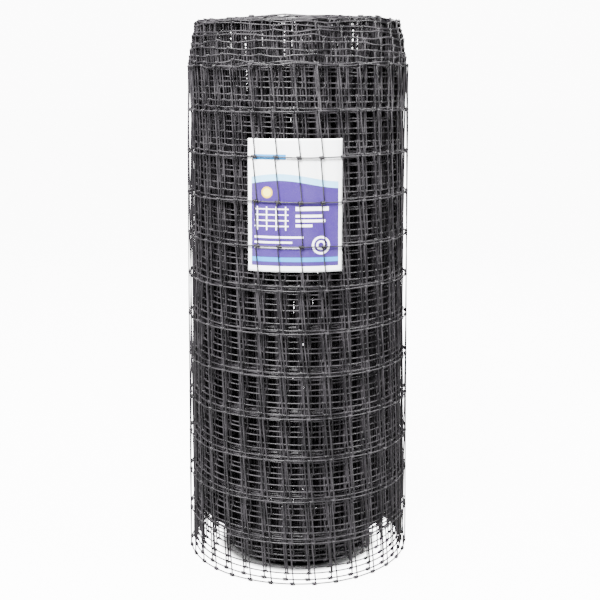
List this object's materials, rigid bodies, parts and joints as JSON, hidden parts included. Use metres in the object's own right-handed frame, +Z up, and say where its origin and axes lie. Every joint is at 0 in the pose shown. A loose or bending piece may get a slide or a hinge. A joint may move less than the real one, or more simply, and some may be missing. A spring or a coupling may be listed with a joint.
{
  "type": "roll of woven wire fence",
  "caption": "Roll of black woven wire horse fence, stood on end, its turns stepped at the rim, with a printed card held under the outermost turn.",
  "frame": {"origin": "on the roll's axis, at the floor it stands on", "axes": "+Z up along the roll's axis, -Y towards the side with the printed card, +X to the right of it"},
  "size_m": [0.5668, 0.5668, 1.331],
  "materials": {
    "black_wire": "black coated steel wire, satin",
    "printed_card": "printed card with a light gloss, pale with a purple field"
  },
  "bodies": {
    "root": {"mesh_roll": "black_wire", "label_card": "printed_card"}
  },
  "joints": []
}
